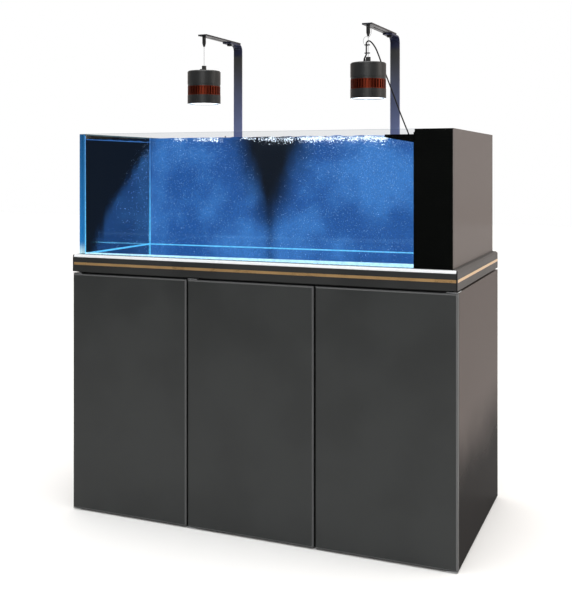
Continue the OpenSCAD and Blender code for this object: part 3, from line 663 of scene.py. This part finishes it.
# The white front edge trim is a painted highlight: it stands for the overhead light on the rounded front lip.
painted_highlight_trim = moulded_plastic("white_plastic_painted_highlight", "#e4e7ea", "#f3f5f7", 0.22, 12.0, 0.005, 0.5)
steel = brushed_metal("brushed_stainless_steel", "#8f9193", "#c4c6c8", 0.3, (1, 1, 0.05))
wire_steel = brushed_metal("stranded_steel_wire", "#505254", "#8c8e90", 0.35, (1, 1, 0.35), 1.2, 0.1)
arm_metal = brushed_metal("black_anodised_aluminium", "#3a3a3e", "#56565b", 0.38, (1, 0.03, 1))
fin_metal = brushed_metal("copper_red_anodised_aluminium", "#4a1a10", "#8c3c28", 0.45, (1, 1, 0.1))
housing = anodised_housing("grey_anodised_aluminium", "#2e2f2f", "#383939")
bracket = powder_coat("powder_coated_steel", "#434343", "#7c87b4", high("bracket_1")[2] - 0.045, rim)
black_plastic = moulded_plastic("black_abs", "#0e0e0f", "#161617", 0.45)
white_nylon = moulded_plastic("white_nylon", "#d8d8d4", "#e4e4e0", 0.4)
dark_nylon = moulded_plastic("dark_nylon", "#1d1d1e", "#28282a", 0.5)
pump_plastic = moulded_plastic("glass_filled_nylon", "#141516", "#1f2021", 0.5, 1.5)
cord_rubber = moulded_plastic("black_pvc_sheath", "#08080a", "#101012", 0.38, 1.5)
sealant = black_sealant()
mat_foam = open_foam("black_eva_foam", "#050505", "#161616", 2.0)
filter_foam = open_foam("blue_grey_filter_foam", "#4c5c66", "#9fb4c0", 3.0)
acrylic = black_acrylic()
film = lit_film()
clear_pane = float_glass("low_iron_float_glass", "#8fc4d8", "#c2e4f0")

give(doors, "left_door", "middle_door", "right_door")
give(sides, "left_side_panel", "right_side_panel")
give(rails, "front_rail")
give(side_rails, "side_and_back_rails")
give(cladding, "column_side_panel")
give(melamine, "base_panel", "partition_panels", "back_panel", "deck_panel", "support_board")
give(black_plastic, "spacer_strips", "latch_housings", "cord_clips")
give(steel, "pivot_plates")
give(white_nylon, "left_plunger", "middle_plunger", "right_plunger")
give(dark_nylon, "foot_glides", "filter_basket", "return_pipe")
give(pump_plastic, "return_pump")
give(sealant, "corner_beads")
give(brass, "gold_trim")
give(painted_highlight_trim, "front_edge_trim")
give(mat_foam, "foam_mat")
give(filter_foam, "filter_foam")
give(acrylic, "column_front_panel", "weir_panel", "filter_baffles")
give(film, "back_film")
give(clear_pane, "bottom_glass", "front_glass", "left_glass", "back_glass", "right_glass")
give(bracket, "bracket_1", "bracket_2")
give(arm_metal, "arm_1", "arm_2")
give(black_plastic, "gripper_1", "gripper_2", "clamp_screw_1", "clamp_screw_2", "lock_screw_1",
     "lock_screw_2")
give(wire_steel, "wire_1", "wire_2")
give(housing, "lamp_housing_1", "lamp_housing_2")
give(fin_metal, "fin_ring_1", "fin_ring_2")
for n in (1, 2):
    give(lit_lens(f"frosted_lens_{n}", lamp_axis[n]), f"lens_{n}")


# ---------- cord: from the upper clip over the rim, down the back, to its coil and plug ----------

CORD = 4.5 * MM
LEAD_ROUTE = [
    [243.5, 18, 1388.1], [243.5, 18, 1392], [244.5, 18, 1397], [247.5, 18, 1402],
    [249.5, 18, 1407], [249.5, 18, 1415], [249.5, 18, 1425], [249.5, 18, 1437],
]
CORD_ROUTE = [
    [249.5, 18, 1437.4], [249.5, 18.5, 1441], [250.5, 21, 1445], [252, 27, 1448.5],
    [254.5, 35, 1449.5], [257.5, 46, 1446.5], [261, 59, 1439], [264.5, 74, 1427],
    [268, 91, 1408], [272, 110, 1384], [277, 134, 1355], [283, 162, 1322],
    [289, 194, 1285], [295, 225, 1248], [301, 255, 1214], [305, 275, 1192],
    [308, 290, 1176], [309.5, 297, 1165], [310.5, 300, 1151], [311, 301, 1125],
    [311.5, 302, 1063], [313, 302.5, 980], [314, 303.5, 900], [315, 306, 850],
    [315, 309, 805], [315, 310, 740], [315, 310, 620], [315, 310, 500], [315, 310, 380],
    [315, 310, 260], [315, 310, 150], [315, 310, 85], [312, 310.5, 50], [304, 312, 26],
    [291, 314, 10], [275, 315, 3.5], [257, 315.5, 2.4], [243, 315.5, 2.4], [230, 315.5, 2.4],
]
coil_centre = (low("cord_coil") + high("cord_coil"))[:2] / 2
plug_axis = (low("cord_plug") + high("cord_plug"))[1:] / 2


def coil_path(turns, steps):
    """Turns round the coil, clockwise from its south side. The lower three turns lie side by side from
    outside in, and the upper three from inside out. Each turn keeps its radius and steps to the next
    one over a third of a turn, on arcs that keep the cords a diameter apart."""
    turn = np.linspace(0, turns, int(turns * steps) + 1)[1:]
    whole, part = np.floor(turn), turn % 1
    share = np.clip((part - 2 / 3) * 3, 0, 1)
    phase = np.pi / 2 * share * share * (3 - 2 * share)
    inward = np.sqrt(1 - (1 - np.cos(phase)) ** 2)
    outer = 29.5 * MM
    lower = outer - CORD * (np.minimum(whole, 2) + np.where(whole < 2, 1 - inward, 0))
    upper = outer - CORD * (5 - whole - np.sin(phase))
    radius = np.where(whole < 3, lower, np.minimum(upper, outer))
    climb = np.where(whole < 2, 0, np.where(whole == 2, 1 - np.cos(phase), 1))
    angle = -np.pi / 2 - 2 * np.pi * turn
    return np.stack([coil_centre[0] + radius * np.cos(angle), coil_centre[1] + radius * np.sin(angle),
                     CORD * (0.53 + climb)], axis=1)


drop = smooth_path(np.array(CORD_ROUTE) * MM, 5)
tail = np.array([[8, 0.0, 6.3], [13, 0, 5.6], [18, 0, 5.1]]) * MM
tail[:, 0] += coil_centre[0]
tail[:, 1] = plug_axis[0]
cord_path = np.concatenate([drop, coil_path(5.5, 26), tail])
lamp_cord = new_piece("lamp_cord_sheath", [tube(cord_path, CORD / 2, 14)], cord_rubber,
                      None, 60)
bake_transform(lamp_cord)
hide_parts("lamp_cord", "cord_coil")

# Moulded plug: ribbed tail, gripped body and a stepped steel barrel
tail_x = coil_centre[0] + 10 * MM
plug_centre = (tail_x, *plug_axis)
rib_outline = ((0, 0), (0.3, 0.5), (0.9, 0.5), (1.2, 0))
ribs = [[8 + i * 1.5 + s, 2.6 + 0.06 * i + d, 0] for i in range(7) for s, d in rib_outline]
body_profile = [
    [-1.5, 2.4, 0], [0, 2.7, 0], [7.6, 2.8, 0], *ribs, [19.2, 3.4, 0], [20.5, 4.9, 0],
    [22, 4.98, 0], [24, 4.98, 0.5], [32, 4.98, 0.5], [34, 4.98, 0], [35.2, 4.6, 0], [36, 3.6, 0],
]
plug = new_piece("plug_body", [turned(np.array(body_profile) * MM, plug_centre, (1, 0, 0), 48, 16)],
                 cord_rubber, "root", 50)
barrel_profile = [[35.5, 2.5, 0], [44.2, 2.7, 0], [44.6, 2.3, 0], [45.6, 2.3, 0], [46, 1.2, 0]]
barrel = new_piece("plug_barrel", [turned(np.array(barrel_profile) * MM, plug_centre, (1, 0, 0), 32)],
                   steel, "root", 30)
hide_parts("cord_plug")

lead_path = smooth_path(np.array(LEAD_ROUTE) * MM, 5)
lamp_lead = new_piece("lamp_lead_sheath", [tube(lead_path, CORD / 2, 14)], cord_rubber,
                      None, 60)
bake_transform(lamp_lead)
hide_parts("lamp_lead")
relief_profile = [[0, 3.3, 0], [1.2, 3.4, 0], [2, 3.0, 0], [2.8, 3.3, 0], [3.6, 2.8, 0], [4.4, 3.1, 0],
                  [5.2, 2.6, 0], [7, 2.5, 0]]
strain_relief = new_piece("lead_strain_relief",
                          [turned(np.array(relief_profile) * MM, lead_path[0], (0, 0, 1), 32)],
                          black_plastic, "lamp_2", 30)


# ---------- tank: water, seams, lit edges, bubbles ----------

def wave(x, y):
    """Height of the water over its level, in metres: crossing waves 21 to 75 mm long, four times
    higher round the outlet than far from it."""
    stir = 0.25 + np.exp(-(((x - 0.22) / 0.22) ** 2))
    swell = (np.sin(x * 84 + y * 31 + 1.3) + np.sin(x * 121 - y * 97) * 0.7
             + np.sin(y * 173 + x * 60 + 2.2) * 0.6 + np.sin(x * 290 + y * 140 + 0.4) * 0.35)
    return 0.75 * MM * stir * swell


def water_body(columns, rows):
    """Closed body of water: a grid in waves on top, the same grid flat below, and walls round both."""
    gap = 0.1 * MM
    x = np.linspace(wall_left + gap, weir_face - gap, columns)
    y = np.linspace(wall_front + gap, wall_back - gap, rows)
    grid_x, grid_y = np.meshgrid(x, y, indexing="ij")
    top = np.stack([grid_x, grid_y, water_level + wave(grid_x, grid_y)], axis=-1)
    bottom = np.stack([grid_x, grid_y, np.full_like(grid_x, tank_floor + gap)], axis=-1)
    number = np.arange(columns * rows).reshape(columns, rows)
    up = np.stack([number[:-1, :-1], number[1:, :-1], number[1:, 1:], number[:-1, 1:]], axis=-1)
    up = up.reshape(-1, 4)
    down = up[:, ::-1] + columns * rows
    rim_loop = np.concatenate([number[:, 0], number[-1, 1:], number[-2::-1, -1], number[0, -2:0:-1]])
    after = np.roll(rim_loop, -1)
    walls = np.stack([rim_loop + columns * rows, after + columns * rows, after, rim_loop], axis=-1)
    points = np.concatenate([top.reshape(-1, 3), bottom.reshape(-1, 3)])
    return points, np.concatenate([up, down, walls]).tolist()


new_piece("water", [water_body(260, 130)], still_water(), "root", 60)

# The seams glow with painted light of the lamps.
silicone = lit_silicone("clear_silicone", "#5fd0ff", "#4a7fc4", 0.95)
foot_silicone = lit_silicone("clear_silicone_at_the_foot", "#c9f3ff", "#c9f3ff", 1.15)
left_back, left_front = (wall_left, wall_back), (wall_left, wall_front)
top_of_seams = rim - 6 * MM
new_piece("silicone_seams", [
    seam((*left_back, tank_floor), (*left_back, top_of_seams), (1, 0, 0), (0, -1, 0), (4.5, 1.3)),
    seam((*left_front, tank_floor), (*left_front, top_of_seams), (1, 0, 0), (0, 1, 0), (3, 2)),
    seam((*left_front, tank_floor), (*left_back, tank_floor), (1, 0, 0), (0, 0, 1), (3, 2.5)),
    seam((*left_back, tank_floor), (weir_face, wall_back, tank_floor), (0, -1, 0), (0, 0, 1), (2.2, 2.2)),
], silicone, "root", 50)
new_piece("front_foot_seam", [
    seam((*left_front, tank_floor), (weir_face, wall_front, tank_floor), (0, 1, 0), (0, 0, 1), (4, 10)),
], foot_silicone, "root", 50)

edge_low, edge_high = low("left_glass"), high("left_glass")


def slab(low_corner, high_corner, bevel):
    """A thin slab along Z with bevelled corners, its eight-sided section carried from foot to top."""
    (x0, y0, z0), (x1, y1, z1) = low_corner, high_corner
    section = np.array([[x0 + bevel, y0], [x1 - bevel, y0], [x1, y0 + bevel], [x1, y1 - bevel],
                        [x1 - bevel, y1], [x0 + bevel, y1], [x0, y1 - bevel], [x0, y0 + bevel]])
    levels = np.broadcast_to(np.array([z0, z1])[:, None, None], (2, 8, 1))
    return skin(np.concatenate([np.broadcast_to(section, (2, 8, 2)), levels], axis=2))


# Thin slabs in the ends of the panes that glow with painted light.
new_piece("lit_edges_of_panes", [
    slab((edge_low[0] + 0.3 * MM, edge_low[1] + 0.4 * MM, tank_floor + 0.5 * MM),
         (edge_high[0] - 0.2 * MM, edge_low[1] + 1.4 * MM, rim - 0.6 * MM), 0.3 * MM),
    slab((edge_low[0] + 0.1 * MM, low("front_glass")[1] + 0.4 * MM, tank_floor + 0.5 * MM),
         (edge_low[0] + 1.1 * MM, edge_low[1] - 0.2 * MM, rim - 0.6 * MM), 0.2 * MM),
], lit_edge(), "root", 50)
# A thin sheet of painted shade just inside the left pane.
new_piece("unlit_water_by_the_left_pane",
          [slab((wall_left + 0.5 * MM, wall_front + 3 * MM, tank_floor + 3 * MM),
                (wall_left + 0.8 * MM, wall_back - 4 * MM, water_level - 2 * MM), 0.1 * MM)],
          unlit_water(), "root", 50)

seeded = np.random.default_rng(7)


def bubbles_in_cones(count):
    """Places inside the two cones of light: height even, distance from the axis up to the cone's edge
    at that height, and never outside the water."""
    n = seeded.integers(1, 3, count)
    axis = np.where(n[:, None] == 1, lamp_axis[1], lamp_axis[2])
    z = water_level - 4 * MM - (water_level - tank_floor - 10 * MM) * seeded.random(count) ** 1.15
    reach = 0.17 + 0.55 * (water_level - z)
    r = reach * seeded.random(count) ** 0.6
    a = seeded.random(count) * 2 * np.pi
    places = np.stack([axis[:, 0] + r * np.cos(a), axis[:, 1] + r * np.sin(a), z], axis=1)
    inside = ((places[:, 0] > wall_left + 5 * MM) & (places[:, 0] < weir_face - 5 * MM)
              & (places[:, 1] > wall_front + 5 * MM) & (places[:, 1] < wall_back - 5 * MM))
    return places[inside]


# The fine bubbles glow with painted light of the lamps.
fine_places = bubbles_in_cones(8000)
fine_radii = (0.32 + 0.5 * seeded.random(len(fine_places)) ** 3) * MM
new_piece("fine_bubbles", [drops(fine_places, fine_radii)], lit_bubbles("lit_air_bubbles", "#90bcf8", 1.2),
          "root", 180)


def froth(count):
    """Flecks of froth just under the surface that glow as painted glints of light on the waves, in
    clusters: many round the outlet, fewer under lamp 1.
    """
    centres_x = np.concatenate([seeded.uniform(0.13, 0.38, 60), seeded.uniform(-0.30, -0.16, 9),
                                seeded.uniform(-0.10, 0.15, 22)])
    centres_y = seeded.uniform(wall_front + 8 * MM, wall_front + 0.30, len(centres_x))
    pick = seeded.integers(0, len(centres_x), count)
    x = centres_x[pick] + seeded.normal(0, 9 * MM, count)
    y = np.clip(centres_y[pick] + seeded.normal(0, 12 * MM, count), wall_front + 3 * MM, wall_back - 4 * MM)
    x = np.clip(x, wall_left + 6 * MM, weir_face - 6 * MM)
    below = (1.6 + seeded.exponential(2.2, count) * np.where((x > 0) & (x < 0.4), 1.8, 1.0)) * MM
    return np.stack([x, y, water_level - below], axis=1)


# The flecks glow: painted glints of light on the waves.
froth_places = froth(2000)
froth_radii = (0.6 + 1.2 * seeded.random(len(froth_places)) ** 2) * MM
new_piece("surface_froth_glints", [drops(froth_places, froth_radii, 0.7)], lit_bubbles("froth_with_painted_glints", "#eaf6ff", 2.6),
          "root", 180)


# A black sealant bead along the foot of the column side; its dark line also stands for the shade at the
# tank's foot.
side_face, column_front = high("column_side_panel")[0], low("column_side_panel")[1]
column_back, frame_top = high("column_side_panel")[1], low("column_side_panel")[2]
new_piece("column_foot_bead", [seam((side_face, column_front, frame_top), (side_face, column_back, frame_top),
                                    (1, 0, 0), (0, 0, 1), (2.4, 2.4))], sealant, "root", 50)


# ---------- lamps: spare wire, rim clip, knurled screws ----------

def along(points, steps):
    """Path through points given in millimetres."""
    return smooth_path(np.array(points) * MM, steps)


ax, ay = lamp_axis[2] / MM
spare = [[ax + 5.6, ay, 1488], [ax + 9.5, ay - 1, 1484], [ax + 11, ay - 2, 1476], [ax + 8.5, ay - 3, 1466],
         [ax + 3, ay - 3.5, 1459], [ax - 6, ay - 3, 1461], [ax - 13, ay - 2, 1456], [ax - 15.5, ay - 1, 1448],
         [ax - 14, ay, 1440], [ax - 9, ay + 1, 1434.5], [ax - 3.5, ay + 1.5, 1433.5], [ax - 1, ay + 1, 1433]]
new_piece("spare_wire_loop", [tube(along(spare, 8), 0.5 * MM, 8)], wire_steel, "arm_2", 60)

# A spare cord clip on the rim: down inside the back pane, over it, and up again in a hook behind.
# Rows are millimetres behind the pane and above the rim.
clip_x = -372
hook = np.array([[-13.2, -10], [-13.2, -1], [-12.4, 1.2], [-9, 1.6], [-2, 1.6], [1.6, 1.0], [2.3, -3],
                 [2.6, -8], [4.6, -9.4], [6.4, -7], [6.4, 2], [5.2, 9]])
hook = np.insert(hook + np.array([high("back_glass")[1], rim]) / MM, 0, clip_x, axis=1)
new_piece("rim_clip", [strip(along(hook, 6), (1, 0, 0), 4 * MM, 1.3 * MM)], black_plastic,
          "root", 50)

for n in (1, 2):
    screw_low, screw_high = low(f"clamp_screw_{n}"), high(f"clamp_screw_{n}")
    centre = ((screw_low + screw_high) / 2)[[0, 2]]
    depth = screw_high[1] - screw_low[1]
    knob_profile = [
        [0, 2.2, 0], [0.4, 2.5, 0], [7, 2.5, 0], [7.05, 8, 0], [7.4, 8.8, 0.3], [8.0, 9, 0.7],
        [depth / MM - 1.0, 9, 0.7], [depth / MM - 0.4, 8.6, 0.3], [depth / MM - 0.2, 7.6, 0],
        [depth / MM - 0.2, 5.5, 0], [depth / MM - 0.8, 5.0, 0],
    ]
    foot = (centre[0], screw_low[1], centre[1])
    clamp_knob = new_piece(f"clamp_thumb_screw_{n}",
                           [turned(np.array(knob_profile) * MM, foot, (0, 1, 0), 96, 24)],
                           black_plastic, f"clamp_screw_{n}", 30)
    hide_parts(f"clamp_screw_{n}")

    lock_low, lock_high = low(f"lock_screw_{n}"), high(f"lock_screw_{n}")
    lock_x, lock_y = ((lock_low + lock_high) / 2)[:2]
    tall = (lock_high[2] - lock_low[2]) / MM
    lock_profile = [
        [0, 5.2, 0], [0.1, 7.2, 0], [0.8, 7.9, 0.4], [1.6, 8, 0.7], [8.4, 8, 0.7], [9.2, 7.8, 0.3],
        [9.5, 7.2, 0], [9.5, 2.5, 0], [tall - 2.5, 2.5, 0], [tall - 2.5, 5.6, 0], [tall - 2.2, 6, 0],
        [tall - 0.7, 6, 0], [tall - 0.1, 5.2, 0], [tall - 0.1, 2.2, 0], [tall - 1.3, 1.8, 0],
    ]
    lock_knob = new_piece(f"lock_thumb_screw_{n}",
                          [turned(np.array(lock_profile) * MM, (lock_x, lock_y, lock_low[2]),
                                  (0, 0, 1), 96, 24)],
                          black_plastic, f"lock_screw_{n}", 30)
    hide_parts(f"lock_screw_{n}")


# ---------- cabinet: grommets in the cable holes ----------

HOLE_X, HOLE_Z = 0.390, 0.560  # the cable holes' middles
back_face = high("back_panel")[1]
outline = np.array([[-14, 27.2], [-14, 29.8], [0.0, 29.9], [0.1, 34.5], [0.8, 35.6], [1.6, 35.4],
                    [2.4, 33.5], [2.6, 29.5], [2.0, 27.6]]) * MM
for side, name in ((-1, "left"), (1, "right")):
    new_piece(f"{name}_cable_grommet",
              [hoop(outline[::-1], (side * HOLE_X, back_face, HOLE_Z), (0, 1, 0), 72)],
              black_plastic, "root", 35)


# ---------- studio ----------

floor_points = np.array([[-14, -3.4, 0], [14, -3.4, 0], [14, 14, 0], [-14, 14, 0]], float)
floor = new_piece("studio_floor", [(floor_points, [[0, 1, 2, 3]])], pale_floor(), None)

world = bpy.data.worlds.new("studio")
scene.world = world
world.use_nodes = True
sky = world.node_tree
sky.nodes.clear()
direction = axes(sky, add(sky, "ShaderNodeTexCoord").outputs["Generated"])
back_share = between(sky, direction["Y"], -0.6, 0.9, 0.0, 1.0)
room = blend_colour(sky, back_share, "#5c5e60", "#d8cfc8")
seen = add(sky, "ShaderNodeLightPath").outputs["Is Camera Ray"]
shown = add(sky, "ShaderNodeMixShader", {
    0: seen,
    1: add(sky, "ShaderNodeBackground", {"Color": room, "Strength": 1.0}).outputs[0],
    2: add(sky, "ShaderNodeBackground", {"Color": (1, 1, 1, 1), "Strength": 1.0}).outputs[0],
})
add(sky, "ShaderNodeOutputWorld", {"Surface": shown.outputs[0]})


def softbox(name, place, aim, size, watts, colour):
    """A rectangular lamp at a place, turned to a point."""
    data = bpy.data.lights.new(name, "AREA")
    data.shape = "RECTANGLE"
    data.size, data.size_y = size
    data.energy = watts
    data.color = linear(colour)[:3]
    light = bpy.data.objects.new(name, data)
    light.location = place
    towards = Vector(aim) - Vector(place)
    light.rotation_euler = towards.to_track_quat("-Z", "Y").to_euler()
    scene.collection.objects.link(light)


softbox("front_softbox", (1.0, -4.4, 2.7), (0.3, 0, 0.7), (2.0, 1.6), 60, "#fffdfa")
softbox("right_softbox", (4.2, 0.6, 2.4), (0.6, 0, 0.8), (1.6, 1.6), 40, "#fff6ee")

sun_data = bpy.data.lights.new("overhead_light", "SUN")
sun_data.energy = 3.0
sun_data.angle = math.radians(60)
sun = bpy.data.objects.new("overhead_light", sun_data)
sun.rotation_euler = (math.radians(8), 0, 0)
scene.collection.objects.link(sun)
